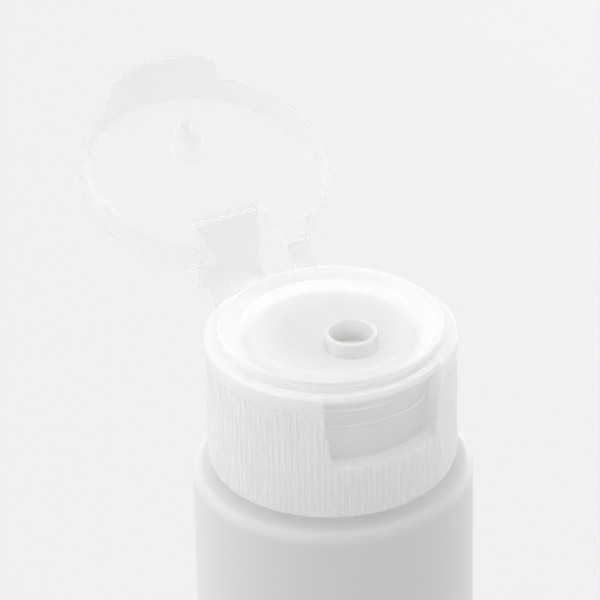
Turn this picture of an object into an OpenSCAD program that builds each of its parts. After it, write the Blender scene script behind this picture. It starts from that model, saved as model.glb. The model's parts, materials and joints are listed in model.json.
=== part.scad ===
// Round lotion bottle with a flip-top screw cap, shown with its lid open.
// The origin is the centre of the bottle's foot, +Z is up and the lid's tab side faces -Y.
// The lid, the two hinge straps and the two leaves of the hinge panel are drawn shut,
// in the wall that they are part of, and then turned to the open place.

/* [Bottle] */
// Diameter of the bottle's body
body_d = 49.5; // [47:0.1:60]
// Height of the flat shoulder above the foot
body_h = 128; // [60:1:200]
// Thickness of the bottle's wall
bottle_wall = 0.9; // [0.6:0.1:1.6]
// Radius of the edge between body and shoulder
shoulder_round = 1.8; // [1:0.1:4]
// Radius of the edge round the foot
foot_round = 3; // [1.5:0.1:6]
// Width of the ring that the foot stands on
foot_ring = 3; // [1.5:0.1:6]
// How far the middle of the foot is pushed up
foot_push = 1.8; // [0.6:0.1:4]

/* [Neck] */
// Diameter of the neck between its threads
neck_d = 25.8; // [24:0.1:27]
// Diameter of the hole through the neck
neck_bore_d = 22.4; // [18:0.1:23]
// Radius of the blend from the shoulder to the neck
neck_blend = 1.2; // [0.5:0.1:2]
// Thickness of the seal ring on the neck
seal_t = 1; // [0.6:0.1:2]
// Width of the seal ring
seal_w = 1.6; // [1:0.1:1.8]

/* [Cap skirt] */
// Diameter of the cap over its ribs
skirt_d = 44; // [43:0.1:46.5]
// Height of the cap from the skirt's lower edge to the ledge
skirt_h = 24.1; // [20:0.1:32]
// Gap between the skirt and the bottle's shoulder
cap_gap = 2; // [0.5:0.1:4]
// Thickness of the skirt's wall
skirt_wall = 1.2; // [1:0.1:1.5]
// Height of the smooth band above the ribs
band_h = 3; // [1:0.1:5]
// Height of the smooth edge below the ribs
edge_h = 0.9; // [0.5:0.1:3]
// Number of ribs round the skirt
rib_count = 120; // [60:10:120]
// Height of a rib above the skirt's surface
rib_depth = 0.28; // [0.1:0.02:0.4]
// Inner diameter of the threaded sleeve that takes the neck
sleeve_d = 28.4; // [28:0.1:30]
// Thickness of the sleeve's wall
sleeve_wall = 1.2; // [0.8:0.1:1.6]
// Distance from the sleeve's lower end to the skirt's lower edge
sleeve_lift = 2; // [0.5:0.1:6]

/* [Cap top] */
// Diameter of the raised top inside the ledge
collar_d = 39.4; // [38:0.1:40]
// Height of the raised top above the ledge
collar_h = 1.9; // [1:0.1:3]
// Width of the flat rim round the dish
rim_w = 1.1; // [0.5:0.1:2]
// Diameter of the dish's floor
dish_d = 32; // [30:0.1:34]
// Depth of the dish below the rim
dish_depth = 0.7; // [0.3:0.1:1]
// Diameter of the gentle dome inside the dish
dome_d = 29; // [26:0.1:30]
// Height of the dome above the dish's floor
dome_rise = 0.9; // [0.2:0.1:1.2]
// Thickness of the cap's top
deck_t = 1.1; // [0.8:0.1:1.5]
// Height of the bead that the lid snaps over, above the ledge
bead_z = 1.1; // [0.6:0.1:1.4]
// Distance from the cap's axis to the spout's axis
spout_offset = 7.5; // [5:0.1:7.6]
// Outer diameter of the spout
spout_d = 9.2; // [8.4:0.1:9.6]
// Diameter of the hole in the spout
spout_bore_d = 7.7; // [6:0.1:8]
// Height of the spout's rim above the ledge
spout_top = 4.2; // [3.4:0.1:4.4]
// Diameter of the pouring hole in the spout's floor
orifice_d = 5.2; // [3.8:0.1:5.4]
// Thickness of the spout's floor
orifice_t = 0.7; // [0.5:0.1:0.9]

/* [Thumb recess] */
// Width of the recess at its top
recess_w = 23; // [18:0.1:24]
// How much narrower the recess is at its lower edge
recess_taper = 2.4; // [0:0.1:4]
// Depth of the recess below the ledge
recess_h = 14; // [10:0.1:16]
// How far the recess goes in from the skirt's surface
recess_depth = 3.6; // [2:0.1:3.8]
// Radius of the recess's lower corners
recess_round = 1.2; // [0.5:0.1:3]
// Thickness of the ledge above the recess
brow_t = 1.3; // [0.8:0.1:2]
// How far that ledge is set back to take the lid's tab
tab_seat = 0.85; // [0.7:0.05:1.2]
// Thickness of the walls round the recess
recess_wall = 1; // [0.8:0.1:1.4]
// Thickness of the two grip beads in the recess
grip_bead = 0.35; // [0.2:0.05:0.6]

/* [Lid] */
// Diameter of the lid
lid_d = 44.8; // [44:0.1:47]
// Height of the lid from its rim to its top
lid_h = 6; // [5.6:0.1:8]
// Thickness of the lid's wall
lid_wall = 1; // [0.8:0.1:1.3]
// Thickness of the lid's top
lid_top = 1.2; // [1:0.1:1.5]
// Radius of the lid's outer edge
lid_round = 0.9; // [0.4:0.1:1]
// Clear gap between the lid's tab and each side of the recess
tab_gap = 0.25; // [0.15:0.05:1.5]
// How far the tab hangs below the lid's rim
tab_drop = 5.3; // [3:0.1:6]
// Radius of the tab's lower corners
tab_round = 3.2; // [1:0.1:3.4]
// How far the tab leans outwards at its lower edge
tab_flare = 0.35; // [0:0.05:0.6]
// Clearance between the pouring hole and the lid's plug, all round
plug_fit = 0.08; // [0.05:0.01:0.15]
// How far the plug goes below the spout's floor
plug_reach = 1.2; // [0.5:0.1:2]
// Diameter of the hole up the plug
plug_bore_d = 3; // [1:0.1:3.2]

/* [Hinge] */
// How far the lid turns from shut to open, in degrees
open_angle = 162.7; // [150:0.1:170]
// Distance from the cap's axis back to the lid's turning line
pivot_back = 24.34; // [24:0.02:26]
// Height of the lid's turning line above the ledge
pivot_up = 1.98; // [0.6:0.02:2.4]
// Width of the hinge panel
panel_w = 12.6; // [10:0.1:12.8]
// Distance from the cap's axis to the panel's outer face
panel_back = 21.2; // [21:0.05:21.4]
// Thickness of the panel
panel_t = 0.9; // [0.6:0.1:1]
// How far the panel reaches down below the ledge
panel_drop = 13; // [11:0.1:15]
// Distance from the cap's axis to the panel's film hinge in the lid's top
panel_front = 8.5; // [7.5:0.1:10]
// Distance from the cap's axis to the straps' outer faces
strap_back = 19.9; // [19.6:0.05:20.1]
// Thickness of a strap
strap_t = 0.6; // [0.4:0.1:0.8]
// Width of a strap
strap_w = 3.9; // [3:0.1:4.1]
// Clear gap beside each leaf of the hinge
leaf_gap = 0.4; // [0.2:0.05:0.5]
// Clear gap at the end of each leaf, where the film hinge is
film_gap = 0.15; // [0.1:0.05:0.25]

/* [Hidden] */
$fn = 128;
// A little extra length that lets a cut run past the face it leaves through
past = 0.5;
// How far joined forms run into each other
sink = 0.2;
// Play round the seal ring inside the sleeve
seal_play = 0.3;
// How far the ribs' tips lie inside the smooth band, and the lower edge inside their roots
edge_step = 0.05;

body_r = body_d / 2;
neck_r = neck_d / 2;
neck_bore_r = neck_bore_d / 2;
skirt_r = skirt_d / 2;
tip_r = skirt_r - edge_step;
root_r = tip_r - rib_depth;
skirt_in_r = root_r - skirt_wall;
sleeve_r = sleeve_d / 2;
collar_r = collar_d / 2;
dish_r = dish_d / 2;
dome_r = dome_d / 2;
spout_r = spout_d / 2;
lid_r = lid_d / 2;
plug_r = orifice_d / 2 - plug_fit;
tab_half = recess_w / 2 - tab_gap;
// The tab's sides follow the recess's, so it is a little narrower at its lower edge
tab_low_half = tab_half - recess_taper / 2 * tab_drop / recess_h;

skirt_z = body_h + cap_gap;
ledge_z = skirt_z + skirt_h;
rim_z = ledge_z + collar_h;
dish_z = rim_z - dish_depth;
dome_z = dish_z + dome_rise;
land_z = dish_z - deck_t;
neck_top_z = land_z - seal_t;
seal_out_r = sleeve_r - seal_play;
seal_in_r = seal_out_r - seal_w;
cup_z = land_z - orifice_t;
lid_under_z = ledge_z + lid_h - lid_top;
lid_top_z = ledge_z + lid_h;

// The dome's sphere passes through the dome's edge and its top
dome_ball_r = (dome_r * dome_r + dome_rise * dome_rise) / (2 * dome_rise);
// The inner side of the wall behind the recess
recess_r = skirt_r - recess_depth;
recess_in_r = recess_r - recess_wall;

// Hinge lines in the YZ plane, each as [distance back, height]
pivot = [pivot_back, ledge_z + pivot_up];
panel_foot = [panel_back, ledge_z - panel_drop];
panel_knee = [panel_back, lid_under_z];
panel_tip = [panel_front, lid_top_z];
strap_head = [strap_back, lid_under_z];

// A point turned back about a line by an angle, and the direction of a vector
function turned(p, about, angle) = about + [
    (p.x - about.x) * cos(angle) + (p.y - about.y) * sin(angle),
    (p.y - about.y) * cos(angle) - (p.x - about.x) * sin(angle)];
function bearing(v) = atan2(v.y, v.x);

panel_tip_open = turned(panel_tip, pivot, open_angle);
strap_head_open = turned(strap_head, pivot, open_angle);

// The strap's foot is as far from the strap's head shut as open
strap_span = strap_head_open - strap_head;
strap_mid = (strap_head_open + strap_head) / 2;
strap_foot = [strap_back, strap_mid.y + (strap_mid.x - strap_back) * strap_span.x / strap_span.y];
strap_turn = bearing(strap_head - strap_foot) - bearing(strap_head_open - strap_foot);

// The lower leaf turns until the upper leaf reaches the lid, by the law of cosines
lower_len = norm(panel_knee - panel_foot);
upper_len = norm(panel_tip - panel_knee);
panel_span = norm(panel_tip_open - panel_foot);
foot_corner = acos((lower_len * lower_len + panel_span * panel_span - upper_len * upper_len)
    / (2 * lower_len * panel_span));
lower_turn = bearing(panel_knee - panel_foot) - bearing(panel_tip_open - panel_foot) + foot_corner;
panel_knee_open = turned(panel_knee, panel_foot, lower_turn);
upper_turn = bearing(panel_tip - panel_knee) - bearing(panel_tip_open - panel_knee_open) - lower_turn;

// Turns what follows back about a hinge line by an angle
module turn_back(about, angle) {
    translate([0, about.x, about.y])
        rotate([-angle, 0, 0])
            translate([0, -about.x, -about.y])
                children();
}

// Puts what is drawn shut where it lies with the lid open
module with_lid() {
    turn_back(pivot, open_angle) children();
}
module with_strap() {
    turn_back(strap_foot, strap_turn) children();
}
module with_lower_leaf() {
    turn_back(panel_foot, lower_turn) children();
}
module with_upper_leaf() {
    with_lower_leaf() turn_back(panel_knee, upper_turn) children();
}

// A ring between two radii
module ring(out_r, in_r, z, h) {
    translate([0, 0, z])
        rotate_extrude()
            translate([in_r, 0])
                square([out_r - in_r, h]);
}

// A block centred on X, from one depth to another and one height to another
module slab(w, y0, y1, z0, z1) {
    translate([-w / 2, y0, z0])
        cube([w, y1 - y0, z1 - z0]);
}

// A quarter of a round edge as points, about a centre and starting at an angle
function arc(c, r, a0, a1, n = 8) =
    [for (i = [0 : n]) c + r * [cos(a0 + (a1 - a0) * i / n), sin(a0 + (a1 - a0) * i / n)]];

// The outline of half the bottle's wall, outside first and then inside
module bottle_outline() {
    fr = foot_round;
    sr = shoulder_round;
    w = bottle_wall;
    push_r = body_r - fr - foot_ring / 2;
    polygon(concat(
        [[0, foot_push]],
        [[push_r - 2 * foot_push, foot_push], [push_r, 0]],
        arc([body_r - fr, fr], fr, -90, 0),
        arc([body_r - sr, body_h - sr], sr, 0, 90),
        arc([neck_r + neck_blend, body_h + neck_blend], neck_blend, 270, 180),
        [[neck_r, neck_top_z], [neck_bore_r, neck_top_z]],
        [[neck_bore_r, body_h - w]],
        arc([body_r - sr, body_h - sr], sr - w, 90, 0),
        arc([body_r - fr, fr], fr - w, 0, -90),
        [[push_r, w], [push_r - 2 * foot_push, foot_push + w], [0, foot_push + w]]));
}

module bottle() {
    color("whitesmoke")
        rotate_extrude()
            bottle_outline();
}

module neck_seal() {
    color("gainsboro")
        ring(seal_out_r, seal_in_r, neck_top_z, seal_t);
}

// The skirt's ribbed middle as one outline, four points to a rib
module ribbed_outline() {
    step = 360 / rib_count;
    polygon([for (i = [0 : rib_count - 1], k = [0 : 3])
        (k % 3 == 0 ? root_r : tip_r) * [cos(step * (i + 0.2 * k)), sin(step * (i + 0.2 * k))]]);
}

// The skirt's outside: a plain lower edge and the ribbed middle
module skirt_form() {
    rib_low = skirt_z + edge_h;
    rib_high = ledge_z - band_h;
    translate([0, 0, skirt_z])
        cylinder(r = root_r - edge_step, h = skirt_h / 2);
    translate([0, 0, rib_low])
        linear_extrude(rib_high - rib_low + sink)
            ribbed_outline();
}

// The smooth band, the ledge, the collar with its bead, the dish and its dome
module top_form() {
    ledge_edge = 0.4;
    collar_edge = 0.3;
    bead_r = 0.15;
    dome_c = [0, dome_z - dome_ball_r];
    dome_a = asin(dome_r / dome_ball_r);
    rotate_extrude()
        polygon(concat(
            [[0, ledge_z - band_h], [skirt_r, ledge_z - band_h]],
            arc([skirt_r - ledge_edge, ledge_z - ledge_edge], ledge_edge, 0, 90),
            [[collar_r, ledge_z], [collar_r, ledge_z + bead_z - bead_r]],
            arc([collar_r, ledge_z + bead_z], bead_r, -60, 60, 4),
            [[collar_r, ledge_z + bead_z + bead_r]],
            arc([collar_r - collar_edge, rim_z - collar_edge], collar_edge, 0, 90),
            arc([collar_r - rim_w, rim_z - collar_edge], collar_edge, 90, 130, 4),
            [[dish_r, dish_z], [dome_r, dish_z]],
            [for (i = [5 : -1 : 0]) dome_c + dome_ball_r * [sin(dome_a * i / 6), cos(dome_a * i / 6)]]));
}

module at_spout() {
    translate([0, -spout_offset, 0]) children();
}

// The spout above the dome, with a slight foot and a rounded rim
module spout_form() {
    edge_r = 0.35;
    foot_r = 0.15;
    foot_z = dish_z + dome_rise / 2 + foot_r;
    at_spout()
        rotate_extrude()
            polygon(concat(
                [[0, dish_z - sink], [spout_r + foot_r, dish_z - sink], [spout_r + foot_r, foot_z]],
                [[spout_r, foot_z]],
                arc([spout_r - edge_r, ledge_z + spout_top - edge_r], edge_r, 0, 90),
                [[0, ledge_z + spout_top]]));
}

module spout_holes() {
    at_spout() {
        translate([0, 0, land_z])
            cylinder(d = spout_bore_d, h = spout_top + skirt_h);
        translate([0, 0, cup_z - past])
            cylinder(d = orifice_d, h = orifice_t + 2 * past);
    }
}

// What is hollow under the cap's top: round the threaded sleeve, and inside it
module cap_hollow() {
    low_z = skirt_z - past;
    sleeve_low = skirt_z + sleeve_lift;
    sleeve_out_r = sleeve_r + sleeve_wall;
    under_r = spout_offset + spout_r;
    difference() {
        rotate_extrude()
            polygon([[0, low_z], [skirt_in_r, low_z], [skirt_in_r, ledge_z - skirt_wall],
                [sleeve_out_r, ledge_z - skirt_wall], [sleeve_out_r, sleeve_low], [sleeve_r, sleeve_low],
                [sleeve_r, land_z], [under_r, land_z], [under_r - spout_r, dome_z - deck_t],
                [0, dome_z - deck_t]]);
        at_spout()
            translate([0, 0, cup_z])
                cylinder(r = spout_r, h = skirt_h);
        recess_box();
    }
}

// An upright plate facing the front, narrower and rounded at its lower edge
module recess_plate(grow, top_z) {
    low_z = ledge_z - recess_h - grow;
    r = recess_round + grow;
    half_top = recess_w / 2 + grow;
    half_low = (recess_w - recess_taper) / 2 + grow;
    translate([0, -sleeve_r, 0])
        rotate([90, 0, 0])
            linear_extrude(skirt_r)
                polygon(concat(
                    [[half_top, top_z]],
                    arc([half_low - r, low_z + r], r, 0, -90),
                    arc([-half_low + r, low_z + r], r, -90, -180),
                    [[-half_top, top_z]]));
}

// The walls behind and beside the thumb recess
module recess_box() {
    intersection() {
        recess_plate(recess_wall, ledge_z);
        ring(skirt_in_r + sink, recess_in_r, skirt_z, skirt_h);
    }
}

// The recess runs up to the brow, whose edge is set back to take the lid's tab
module recess_cut() {
    intersection() {
        recess_plate(0, ledge_z - brow_t);
        difference() {
            ring(skirt_r + past, recess_r, skirt_z, skirt_h);
            for (k = [1, 2])
                translate([0, 0, ledge_z - brow_t - k * (recess_h - brow_t) / 4])
                    rotate_extrude()
                        translate([recess_r, 0])
                            circle(r = grip_bead, $fn = 24);
        }
    }
    intersection() {
        recess_plate(0, ledge_z + past);
        ring(skirt_r + past, skirt_r - tab_seat, skirt_z + edge_h, skirt_h);
    }
}

// The openings that the hinge panel and the straps leave in the walls
function strap_x() = panel_w / 2 + leaf_gap + strap_w / 2;
opening_w = panel_w + 4 * leaf_gap + 2 * strap_w;

module base_hinge_cut() {
    slab(panel_w + 2 * leaf_gap, panel_back - panel_t - leaf_gap, skirt_r + past,
        panel_foot.y - film_gap, ledge_z + past);
    for (side = [-1, 1])
        translate([side * strap_x(), 0, 0])
            slab(strap_w + 2 * leaf_gap, strap_back - strap_t - leaf_gap / 2, skirt_r + past,
                strap_foot.y - film_gap, ledge_z + past);
}

module cap_base() {
    color("white")
        difference() {
            union() {
                skirt_form();
                top_form();
                spout_form();
            }
            cap_hollow();
            spout_holes();
            recess_cut();
            base_hinge_cut();
        }
}

// The lid's tab, rounded at its lower corners and leaning out a little
module lid_tab() {
    in_r = skirt_r - tab_seat + film_gap;
    out_r = lid_r - sink / 4;
    low_z = ledge_z - tab_drop;
    high_z = ledge_z + lid_wall;
    intersection() {
        rotate_extrude()
            polygon([[in_r, high_z], [out_r, high_z], [out_r + tab_flare, low_z], [in_r + tab_flare, low_z]]);
        translate([0, -sleeve_r, 0])
            rotate([90, 0, 0])
                linear_extrude(lid_r)
                    polygon(concat(
                        [[tab_half, high_z]],
                        arc([tab_low_half - tab_round, low_z + tab_round], tab_round, 0, -90),
                        arc([-tab_low_half + tab_round, low_z + tab_round], tab_round, -90, -180),
                        [[-tab_half, high_z]]));
    }
}

// The lid's plug, which closes the pouring hole, with a rounded tip
module lid_plug() {
    tip_z = cup_z - plug_reach;
    tip_r = 0.5;
    foot_r = 0.4;
    at_spout()
        difference() {
            rotate_extrude()
                polygon(concat(
                    [[0, tip_z], [plug_r - 2 * tip_r, tip_z]],
                    arc([plug_r - tip_r - 0.15, tip_z + tip_r], tip_r, -90, 0, 6),
                    [[plug_r, tip_z + 3 * tip_r], [plug_r, lid_under_z - foot_r]],
                    [[plug_r + foot_r, lid_under_z], [plug_r + foot_r, lid_under_z + sink]],
                    [[0, lid_under_z + sink]]));
            translate([0, 0, tip_z - past])
                cylinder(d = plug_bore_d, h = lid_under_z - tip_z);
        }
}

module lid_shell() {
    inner_r = 0.5;
    lip_r = 0.25;
    rotate_extrude()
        polygon(concat(
            [[0, lid_under_z]],
            arc([lid_r - lid_wall - inner_r, lid_under_z - inner_r], inner_r, 90, 0, 6),
            [[lid_r - lid_wall, ledge_z]],
            arc([lid_r - lip_r, ledge_z + lip_r], lip_r, -90, 0, 4),
            arc([lid_r - lid_round, lid_top_z - lid_round], lid_round, 0, 90),
            [[0, lid_top_z]]));
}

module lid_hinge_cut() {
    slab(panel_w + 2 * leaf_gap, panel_front - film_gap, lid_r + past, ledge_z - past, lid_top_z + past);
    slab(opening_w, strap_back - strap_t - leaf_gap, lid_r + past, ledge_z - past, lid_under_z);
    slab(opening_w, strap_back, lid_r + past, ledge_z - past, lid_top_z + past);
}

module lid() {
    color("white")
        with_lid()
            difference() {
                union() {
                    lid_shell();
                    lid_tab();
                    lid_plug();
                }
                lid_hinge_cut();
            }
}

// The leaf in the cap's back wall
module hinge_panel_lower() {
    color("white")
        with_lower_leaf()
            slab(panel_w, panel_back - panel_t, panel_back, panel_foot.y, panel_knee.y - film_gap);
}

// The leaf in the lid's top, with the lid's own round edge at the knee
module hinge_panel_upper() {
    edge_r = lid_round;
    color("white")
        with_upper_leaf()
            translate([-panel_w / 2, 0, 0])
                rotate([90, 0, 90])
                    linear_extrude(panel_w)
                        polygon(concat(
                            [[panel_front, lid_under_z], [panel_back, lid_under_z]],
                            arc([panel_back - edge_r, lid_top_z - edge_r], edge_r, 0, 90, 6),
                            [[panel_front, lid_top_z]]));
}

module hinge_strap(side) {
    color("white")
        with_strap()
            intersection() {
                translate([side * strap_x(), 0, 0])
                    slab(strap_w, strap_back - strap_t, strap_back, strap_foot.y, strap_head.y - film_gap);
                cylinder(r = skirt_r, h = 2 * ledge_z);
            }
}

module hinge_strap_left() {
    hinge_strap(-1);
}

module hinge_strap_right() {
    hinge_strap(1);
}

bottle();
neck_seal();
cap_base();
lid();
hinge_panel_lower();
hinge_panel_upper();
hinge_strap_left();
hinge_strap_right();
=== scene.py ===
# Round lotion bottle with a flip-top screw cap, its lid open: finishes, moulded details, light and view.
import json
import math

import bpy
from mathutils import Matrix, Vector


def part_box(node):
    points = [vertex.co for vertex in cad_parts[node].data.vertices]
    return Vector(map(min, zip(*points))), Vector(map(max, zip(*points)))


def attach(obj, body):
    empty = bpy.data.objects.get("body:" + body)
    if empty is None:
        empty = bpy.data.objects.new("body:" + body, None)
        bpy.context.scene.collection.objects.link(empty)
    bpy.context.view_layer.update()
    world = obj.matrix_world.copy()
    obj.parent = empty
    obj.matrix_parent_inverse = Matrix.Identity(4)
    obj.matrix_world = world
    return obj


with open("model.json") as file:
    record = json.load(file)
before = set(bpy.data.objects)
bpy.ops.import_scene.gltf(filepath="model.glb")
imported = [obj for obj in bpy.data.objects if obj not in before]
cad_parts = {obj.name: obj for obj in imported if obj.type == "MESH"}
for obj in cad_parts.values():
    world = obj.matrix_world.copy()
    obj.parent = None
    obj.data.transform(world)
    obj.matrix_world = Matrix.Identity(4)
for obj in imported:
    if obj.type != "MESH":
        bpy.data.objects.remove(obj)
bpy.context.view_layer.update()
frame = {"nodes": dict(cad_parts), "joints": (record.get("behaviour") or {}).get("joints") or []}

MM = 0.001

# The photograph's frame and the view in it, from the ellipses of the cap and the lid
FRAME_PX = 600
FOCAL_PX = 4302
VIEW_TURN = math.radians(-27)
VIEW_RISE = math.radians(31.07)
VIEW_ROLL = math.radians(1.21)
VIEW_DISTANCE = 745 * MM
LEDGE_PX = (330.7, 332.3)
SENSOR_WIDTH = 36

# Light: the sky's middle level, how much brighter it is behind and overhead, and the tone it is seen in
SKY_LIGHT = 0.84
SKY_BEHIND = 0.46
SKY_OVERHEAD = 0.19
SKY_SEEN = 0.88
BOX_AIM = (0, 0, 0.1)

# The floor lies a hair under the foot
FLOOR_R = 4
FLOOR_DROP = 0.05 * MM
FLOOR_TONE = 0.789

# The ledge's height, up from the skirt's lower edge
LEDGE_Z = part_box("cap_base")[0].z + 24.1 * MM
NECK_TOP_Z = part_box("bottle")[1].z

# The thread of the neck and of the sleeve round it: its roots reach a little into their walls
THREAD_PITCH = 4.2 * MM
THREAD_TURNS = 1.6
THREAD_BELOW_TOP = 1.8 * MM
THREAD_ROOT = 0.1 * MM
NECK_R = 12.9 * MM
SLEEVE_R = 14.2 * MM
THREAD_DEPTH = 1.05 * MM
THREAD_FOOT = 1.9 * MM
THREAD_CREST = 0.7 * MM
THREAD_STEPS = 96

# The share of the thread's length over which each end thins out, and how thin it gets
RUN_OUT_SHARE = 0.09
RUN_OUT_END = 0.04

# The thin folds of the hinge
FOLD_R = 0.24 * MM
FOLD_SIDES = 20

# How far light spreads inside the milky plastics, and the share that passes on through their walls
MILK_REACH = 3 * MM
MILK_COLOURS = (1.0, 0.98, 0.96)
MILK_SHARE = 0.8
PASSED_LIGHT = 0.6
PLASTIC_IOR = 1.49

# The moulded skin: how much the grain adds to the waves, the clouds' scale and the bump's height
GRAIN_SHARE = 0.15
CLOUD_SCALE = 160
SKIN_HEIGHT = 0.3 * MM

# The open lid and its hinge put many thin walls behind one another
CLEAR_WALLS = 24

joints = {joint["name"]: joint for joint in frame["joints"]}


def new_tree(name, kind, inputs, outputs):
    """A node tree with named sockets: each input is (name, socket type, default)."""
    tree = bpy.data.node_groups.new(name, kind)
    for label, socket_type, default in inputs:
        socket = tree.interface.new_socket(label, in_out="INPUT", socket_type=socket_type)
        if default is not None:
            socket.default_value = default
    for label, socket_type in outputs:
        tree.interface.new_socket(label, in_out="OUTPUT", socket_type=socket_type)
    return tree


def add_node(tree, kind, sockets=None, **values):
    """A new node: the keywords are its properties, and sockets are its inputs' plain values."""
    node = tree.nodes.new(kind)
    for key, value in values.items():
        setattr(node, key, value)
    for socket, value in (sockets or {}).items():
        node.inputs[socket].default_value = value
    return node


def build_skin_group():
    """Soft waves and a fine satin grain, as on moulded polythene and polypropylene."""
    tree = new_tree(
        "moulded_skin",
        "ShaderNodeTree",
        [
            ("Wave Size", "NodeSocketFloat", 90.0),
            ("Grain Size", "NodeSocketFloat", 2600.0),
            ("Cloudiness", "NodeSocketFloat", 0.02),
        ],
        [("Height", "NodeSocketFloat"), ("Cloud", "NodeSocketFloat")],
    )
    start = add_node(tree, "NodeGroupInput")
    end = add_node(tree, "NodeGroupOutput")
    place = add_node(tree, "ShaderNodeTexCoord")
    wave = add_node(tree, "ShaderNodeTexNoise", {"Detail": 1.0}, noise_dimensions="3D")
    grain = add_node(tree, "ShaderNodeTexNoise", {"Detail": 2.0}, noise_dimensions="3D")
    cloud = add_node(
        tree, "ShaderNodeTexNoise", {"Detail": 3.0, "Scale": CLOUD_SCALE}, noise_dimensions="3D"
    )
    mixed = add_node(tree, "ShaderNodeMath", {1: GRAIN_SHARE}, operation="MULTIPLY_ADD")
    centred = add_node(tree, "ShaderNodeMath", {1: 0.5}, operation="SUBTRACT")
    scaled = add_node(tree, "ShaderNodeMath", operation="MULTIPLY")
    link = tree.links.new
    for noise in (wave, grain, cloud):
        link(place.outputs["Object"], noise.inputs["Vector"])
    link(start.outputs["Wave Size"], wave.inputs["Scale"])
    link(start.outputs["Grain Size"], grain.inputs["Scale"])
    link(grain.outputs["Fac"], mixed.inputs[0])
    link(wave.outputs["Fac"], mixed.inputs[2])
    link(mixed.outputs[0], end.inputs["Height"])
    link(cloud.outputs["Fac"], centred.inputs[0])
    link(centred.outputs[0], scaled.inputs[0])
    link(start.outputs["Cloudiness"], scaled.inputs[1])
    link(scaled.outputs[0], end.inputs["Cloud"])
    return tree


def moulded_plastic(name, colour, roughness, cover, shine, waviness):
    """A moulded milky plastic with a soft satin skin. With a cover below 1 it is see-through."""
    material = bpy.data.materials.new(name)
    material.use_nodes = True
    tree = material.node_tree
    shader = tree.nodes["Principled BSDF"]
    shader.inputs["IOR"].default_value = PLASTIC_IOR
    shader.inputs["Specular IOR Level"].default_value = shine
    shader.inputs["Subsurface Weight"].default_value = MILK_SHARE
    shader.inputs["Subsurface Radius"].default_value = MILK_COLOURS
    shader.inputs["Subsurface Scale"].default_value = MILK_REACH
    skin = add_node(tree, "ShaderNodeGroup", node_tree=bpy.data.node_groups["moulded_skin"])
    rough = add_node(tree, "ShaderNodeMath", {1: roughness}, operation="ADD")
    shade = add_node(tree, "ShaderNodeMath", {1: 1.0}, operation="ADD")
    tint = add_node(tree, "ShaderNodeVectorMath", {0: colour}, operation="SCALE")
    bump = add_node(tree, "ShaderNodeBump", {"Strength": waviness, "Distance": SKIN_HEIGHT})
    link = tree.links.new
    link(skin.outputs["Cloud"], rough.inputs[0])
    link(rough.outputs[0], shader.inputs["Roughness"])
    link(skin.outputs["Cloud"], shade.inputs[0])
    link(shade.outputs[0], tint.inputs["Scale"])
    link(tint.outputs[0], shader.inputs["Base Color"])
    link(skin.outputs["Height"], bump.inputs["Height"])
    link(bump.outputs["Normal"], shader.inputs["Normal"])
    if cover < 1:
        # What a see-through wall scatters forwards still lights what lies behind it
        path = add_node(tree, "ShaderNodeLightPath")
        lighting = add_node(tree, "ShaderNodeMath", operation="MAXIMUM")
        covered = add_node(
            tree, "ShaderNodeMapRange", {"To Min": cover, "To Max": cover * (1 - PASSED_LIGHT)}
        )
        link(path.outputs["Is Shadow Ray"], lighting.inputs[0])
        link(path.outputs["Is Diffuse Ray"], lighting.inputs[1])
        link(lighting.outputs[0], covered.inputs["Value"])
        link(covered.outputs["Result"], shader.inputs["Alpha"])
    return material


def finish_node(name, material):
    """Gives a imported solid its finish."""
    slots = frame["nodes"][name].data.materials
    slots.clear()
    slots.append(material)


def end_geometry(tree, start, geometry):
    """Ends a geometry tree with real geometry in the material that the tree is given."""
    end = add_node(tree, "NodeGroupOutput")
    real = add_node(tree, "GeometryNodeRealizeInstances")
    coloured = add_node(tree, "GeometryNodeSetMaterial")
    link = tree.links.new
    link(geometry, real.inputs["Geometry"])
    link(real.outputs["Geometry"], coloured.inputs["Geometry"])
    link(start.outputs["Material"], coloured.inputs["Material"])
    link(coloured.outputs["Geometry"], end.inputs["Geometry"])


def made_by_nodes(name, tree, values, body):
    """Runs a geometry node tree on an empty mesh, and keeps what it makes as a plain piece on a body."""
    carrier = bpy.data.objects.new(name + "_maker", bpy.data.meshes.new(name + "_maker"))
    bpy.context.scene.collection.objects.link(carrier)
    modifier = carrier.modifiers.new("maker", "NODES")
    modifier.node_group = tree
    for item in tree.interface.items_tree:
        if item.item_type == "SOCKET" and item.in_out == "INPUT":
            modifier[item.identifier] = values[item.name]
    bpy.context.view_layer.update()
    seen = carrier.evaluated_get(bpy.context.evaluated_depsgraph_get())
    mesh = bpy.data.meshes.new_from_object(seen)
    mesh.name = name
    carrier.modifiers.clear()
    bpy.data.objects.remove(carrier)
    piece = bpy.data.objects.new(name, mesh)
    bpy.context.scene.collection.objects.link(piece)
    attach(piece, body)


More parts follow.
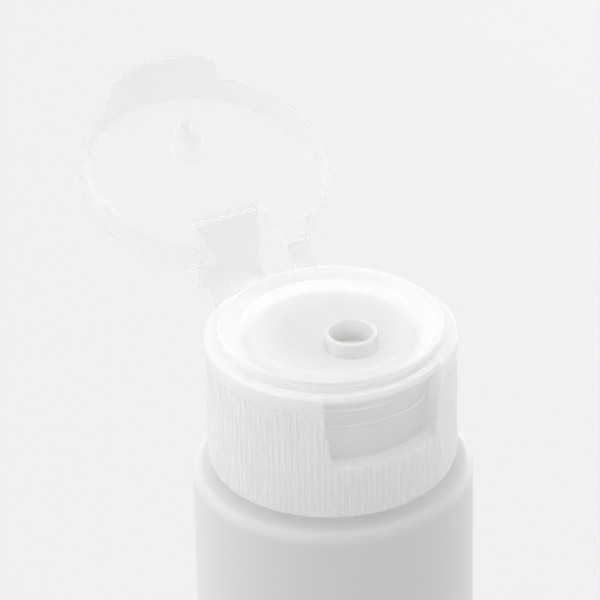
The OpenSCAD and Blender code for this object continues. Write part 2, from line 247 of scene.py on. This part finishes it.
def build_thread_tree():
    """A screw thread: a trapezoid led along a helix, thinning out at both ends."""
    tree = new_tree(
        "screw_thread",
        "GeometryNodeTree",
        [
            ("Radius", "NodeSocketFloat", None),
            ("Start Height", "NodeSocketFloat", None),
            ("Pitch", "NodeSocketFloat", None),
            ("Turns", "NodeSocketFloat", None),
            ("Depth", "NodeSocketFloat", None),
            ("Foot Width", "NodeSocketFloat", None),
            ("Crest Width", "NodeSocketFloat", None),
            ("Material", "NodeSocketMaterial", None),
        ],
        [("Geometry", "NodeSocketGeometry")],
    )
    link = tree.links.new
    start = add_node(tree, "NodeGroupInput")
    rise = add_node(tree, "ShaderNodeMath", operation="MULTIPLY")
    link(start.outputs["Pitch"], rise.inputs[0])
    link(start.outputs["Turns"], rise.inputs[1])
    helix = add_node(tree, "GeometryNodeCurveSpiral", {"Resolution": THREAD_STEPS, "Reverse": True})
    link(start.outputs["Turns"], helix.inputs["Rotations"])
    link(start.outputs["Radius"], helix.inputs["Start Radius"])
    link(start.outputs["Radius"], helix.inputs["End Radius"])
    link(rise.outputs[0], helix.inputs["Height"])
    upright = add_node(tree, "GeometryNodeSetCurveNormal", mode="Z_UP")
    link(helix.outputs["Curve"], upright.inputs["Curve"])
    # How near each point is to an end gives the section's size there
    factor = add_node(tree, "GeometryNodeSplineParameter")
    mirrored = add_node(tree, "ShaderNodeMath", {0: 1.0}, operation="SUBTRACT")
    nearest = add_node(tree, "ShaderNodeMath", operation="MINIMUM")
    run_out = add_node(
        tree,
        "ShaderNodeMapRange",
        {"From Max": RUN_OUT_SHARE, "To Min": RUN_OUT_END},
        interpolation_type="SMOOTHSTEP",
    )
    link(factor.outputs["Factor"], mirrored.inputs[1])
    link(factor.outputs["Factor"], nearest.inputs[0])
    link(mirrored.outputs[0], nearest.inputs[1])
    link(nearest.outputs[0], run_out.inputs["Value"])
    section = add_node(tree, "GeometryNodeCurvePrimitiveQuadrilateral", mode="POINTS")
    for index, (part, side) in enumerate((("Foot", -1), ("Crest", -1), ("Crest", 1), ("Foot", 1)), start=1):
        half = add_node(tree, "ShaderNodeMath", {1: side / 2}, operation="MULTIPLY")
        point = add_node(tree, "ShaderNodeCombineXYZ")
        link(start.outputs[part + " Width"], half.inputs[0])
        link(half.outputs[0], point.inputs["Y"])
        if part == "Crest":
            link(start.outputs["Depth"], point.inputs["X"])
        link(point.outputs[0], section.inputs[f"Point {index}"])
    swept = add_node(tree, "GeometryNodeCurveToMesh", {"Fill Caps": True})
    link(upright.outputs["Curve"], swept.inputs["Curve"])
    link(section.outputs["Curve"], swept.inputs["Profile Curve"])
    link(run_out.outputs["Result"], swept.inputs["Scale"])
    # A thread that stands inwards is swept inside out, so its faces are turned
    inwards = add_node(tree, "FunctionNodeCompare", data_type="FLOAT", operation="LESS_THAN")
    turned_out = add_node(tree, "GeometryNodeFlipFaces")
    link(start.outputs["Depth"], inwards.inputs["A"])
    link(swept.outputs["Mesh"], turned_out.inputs["Mesh"])
    link(inwards.outputs["Result"], turned_out.inputs["Selection"])
    lifted = add_node(tree, "ShaderNodeCombineXYZ")
    placed = add_node(tree, "GeometryNodeTransform")
    link(start.outputs["Start Height"], lifted.inputs["Z"])
    link(turned_out.outputs["Mesh"], placed.inputs["Geometry"])
    link(lifted.outputs[0], placed.inputs["Translation"])
    end_geometry(tree, start, placed.outputs["Geometry"])
    return tree


def build_fold_tree():
    """A thin moulded fold: a round bead along a hinge line, from one end to the other."""
    tree = new_tree(
        "moulded_fold",
        "GeometryNodeTree",
        [
            ("Start", "NodeSocketVector", None),
            ("End", "NodeSocketVector", None),
            ("Radius", "NodeSocketFloat", None),
            ("Material", "NodeSocketMaterial", None),
        ],
        [("Geometry", "NodeSocketGeometry")],
    )
    link = tree.links.new
    start = add_node(tree, "NodeGroupInput")
    line = add_node(tree, "GeometryNodeCurvePrimitiveLine")
    link(start.outputs["Start"], line.inputs["Start"])
    link(start.outputs["End"], line.inputs["End"])
    circle = add_node(tree, "GeometryNodeCurvePrimitiveCircle", {"Resolution": FOLD_SIDES})
    link(start.outputs["Radius"], circle.inputs["Radius"])
    swept = add_node(tree, "GeometryNodeCurveToMesh", {"Fill Caps": True})
    link(line.outputs["Curve"], swept.inputs["Curve"])
    link(circle.outputs["Curve"], swept.inputs["Profile Curve"])
    smooth = add_node(tree, "GeometryNodeSetShadeSmooth")
    link(swept.outputs["Mesh"], smooth.inputs["Geometry"])
    end_geometry(tree, start, smooth.outputs["Geometry"])
    return tree


def add_threads(neck_plastic, sleeve_plastic):
    """The thread outside the neck, and the sleeve's own thread half a pitch beside it."""
    tree = build_thread_tree()
    start_z = NECK_TOP_Z - THREAD_BELOW_TOP - THREAD_PITCH * THREAD_TURNS
    shared = {
        "Pitch": THREAD_PITCH,
        "Turns": THREAD_TURNS,
        "Foot Width": THREAD_FOOT,
        "Crest Width": THREAD_CREST,
    }
    neck = shared | {
        "Radius": NECK_R - THREAD_ROOT,
        "Depth": THREAD_DEPTH,
        "Start Height": start_z,
        "Material": neck_plastic,
    }
    sleeve = shared | {
        "Radius": SLEEVE_R + THREAD_ROOT,
        "Depth": -THREAD_DEPTH,
        "Start Height": start_z - THREAD_PITCH / 2,
        "Material": sleeve_plastic,
    }
    made_by_nodes("neck_thread", tree, neck, "bottle")
    made_by_nodes("sleeve_thread", tree, sleeve, "cap")


def add_folds(plastic):
    """The thin folds at the feet of the panel and of the straps, and at the panel's knee."""
    tree = build_fold_tree()
    for name, node, joint, body in (
        ("panel_foot_fold", "hinge_panel_lower", "panel_foot_hinge", "cap"),
        ("panel_knee_fold", "hinge_panel_upper", "panel_knee_hinge", "panel_lower"),
        ("strap_foot_fold_left", "hinge_strap_left", "strap_hinge", "cap"),
        ("strap_foot_fold_right", "hinge_strap_right", "strap_hinge", "cap"),
    ):
        low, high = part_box(node)
        place = Vector(joints[joint]["pos_m"])
        values = {
            "Start": (low.x, place.y, place.z),
            "End": (high.x, place.y, place.z),
            "Radius": FOLD_R,
            "Material": plastic,
        }
        made_by_nodes(name, tree, values, body)


def add_stage():
    """A pale dull floor."""
    bpy.ops.mesh.primitive_circle_add(
        vertices=96, radius=FLOOR_R, fill_type="NGON", location=(0, 0, -FLOOR_DROP)
    )
    floor = bpy.context.object
    floor.name = "floor"
    material = bpy.data.materials.new("pale_floor")
    material.use_nodes = True
    shader = material.node_tree.nodes["Principled BSDF"]
    shader.inputs["Base Color"].default_value = (FLOOR_TONE, FLOOR_TONE, FLOOR_TONE, 1)
    shader.inputs["Roughness"].default_value = 0.9
    shader.inputs["Specular IOR Level"].default_value = 0.0
    floor.data.materials.append(material)


def light_world():
    """Even light from all round, and a plain pale tone where the sky is seen."""
    world = bpy.data.worlds.new("pale_studio")
    bpy.context.scene.world = world
    world.use_nodes = True
    tree = world.node_tree
    link = tree.links.new
    sky = tree.nodes["Background"]
    sky.inputs["Color"].default_value = (1, 1, 1, 1)
    place = add_node(tree, "ShaderNodeTexCoord")
    slope = add_node(
        tree, "ShaderNodeVectorMath", {1: (0, SKY_BEHIND, SKY_OVERHEAD)}, operation="DOT_PRODUCT"
    )
    glow = add_node(tree, "ShaderNodeMath", {1: SKY_LIGHT}, operation="ADD")
    path = add_node(tree, "ShaderNodeLightPath")
    seen_or_mirrored = add_node(tree, "ShaderNodeMath", operation="MAXIMUM")
    seen_at_all = add_node(tree, "ShaderNodeMath", operation="MAXIMUM")
    level = add_node(tree, "ShaderNodeMapRange", {"To Max": SKY_SEEN})
    link(place.outputs["Generated"], slope.inputs[0])
    link(slope.outputs["Value"], glow.inputs[0])
    link(glow.outputs[0], level.inputs["To Min"])
    link(path.outputs["Is Camera Ray"], seen_or_mirrored.inputs[0])
    link(path.outputs["Is Glossy Ray"], seen_or_mirrored.inputs[1])
    link(seen_or_mirrored.outputs[0], seen_at_all.inputs[0])
    link(path.outputs["Is Transmission Ray"], seen_at_all.inputs[1])
    link(seen_at_all.outputs[0], level.inputs["Value"])
    link(level.outputs["Result"], sky.inputs["Strength"])


def add_soft_box(name, place, side, power):
    """A square soft box that faces the bottle."""
    lamp = bpy.data.lights.new(name, "AREA")
    lamp.shape = "SQUARE"
    lamp.size = side
    lamp.energy = power
    box = bpy.data.objects.new(name, lamp)
    bpy.context.scene.collection.objects.link(box)
    box.location = place
    box.rotation_euler = (Vector(BOX_AIM) - Vector(place)).to_track_quat("-Z", "Y").to_euler()


def add_camera():
    """The photograph's view: the ledge's centre lies at its own pixel."""
    back = Vector((
        math.sin(VIEW_TURN) * math.cos(VIEW_RISE),
        -math.cos(VIEW_TURN) * math.cos(VIEW_RISE),
        math.sin(VIEW_RISE),
    ))
    level = Vector((math.cos(VIEW_TURN), math.sin(VIEW_TURN), 0))
    rise = back.cross(level)
    right = level * math.cos(VIEW_ROLL) - rise * math.sin(VIEW_ROLL)
    up = level * math.sin(VIEW_ROLL) + rise * math.cos(VIEW_ROLL)
    aside = (LEDGE_PX[0] - FRAME_PX / 2) / FOCAL_PX * VIEW_DISTANCE
    below = (LEDGE_PX[1] - FRAME_PX / 2) / FOCAL_PX * VIEW_DISTANCE
    data = bpy.data.cameras.new("photo_camera")
    data.sensor_width = SENSOR_WIDTH
    data.lens = FOCAL_PX / FRAME_PX * SENSOR_WIDTH
    data.clip_start = 0.01
    data.clip_end = 20
    camera = bpy.data.objects.new("photo_camera", data)
    bpy.context.scene.collection.objects.link(camera)
    camera.matrix_world = Matrix((right, up, back)).transposed().to_4x4()
    camera.location = Vector((0, 0, LEDGE_Z)) - right * aside + up * below + back * VIEW_DISTANCE
    bpy.context.scene.camera = camera


build_skin_group()
bottle_plastic = moulded_plastic("milky_bottle", (0.865, 0.86, 0.842), 0.42, 1, 0.5, 0.1)
cap_plastic = moulded_plastic("cloudy_cap", (0.95, 0.945, 0.93), 0.25, 0.66, 0.5, 0.04)
thin_plastic = moulded_plastic("clearer_lid", (0.9, 0.9, 0.895), 0.5, 0.2, 0.12, 0.04)
seal_foam = moulded_plastic("seal_foam", (0.92, 0.92, 0.91), 0.7, 1, 0.3, 0.3)
finish_node("bottle", bottle_plastic)
finish_node("neck_seal", seal_foam)
finish_node("cap_base", cap_plastic)
for thin_node in ("lid", "hinge_panel_lower", "hinge_panel_upper", "hinge_strap_left", "hinge_strap_right"):
    finish_node(thin_node, thin_plastic)

add_threads(bottle_plastic, cap_plastic)
add_folds(thin_plastic)
add_stage()
light_world()
add_soft_box("top_box", (-0.35, 0.25, 1.0), 0.6, 0.9)
add_soft_box("left_box", (-1.0, 0.1, 0.5), 0.7, 0.5)
add_soft_box("right_box", (0.9, 0.4, 0.25), 0.7, 2.2)
add_camera()

scene = bpy.context.scene
scene.view_settings.view_transform = "Standard"
scene.cycles.transparent_max_bounces = CLEAR_WALLS
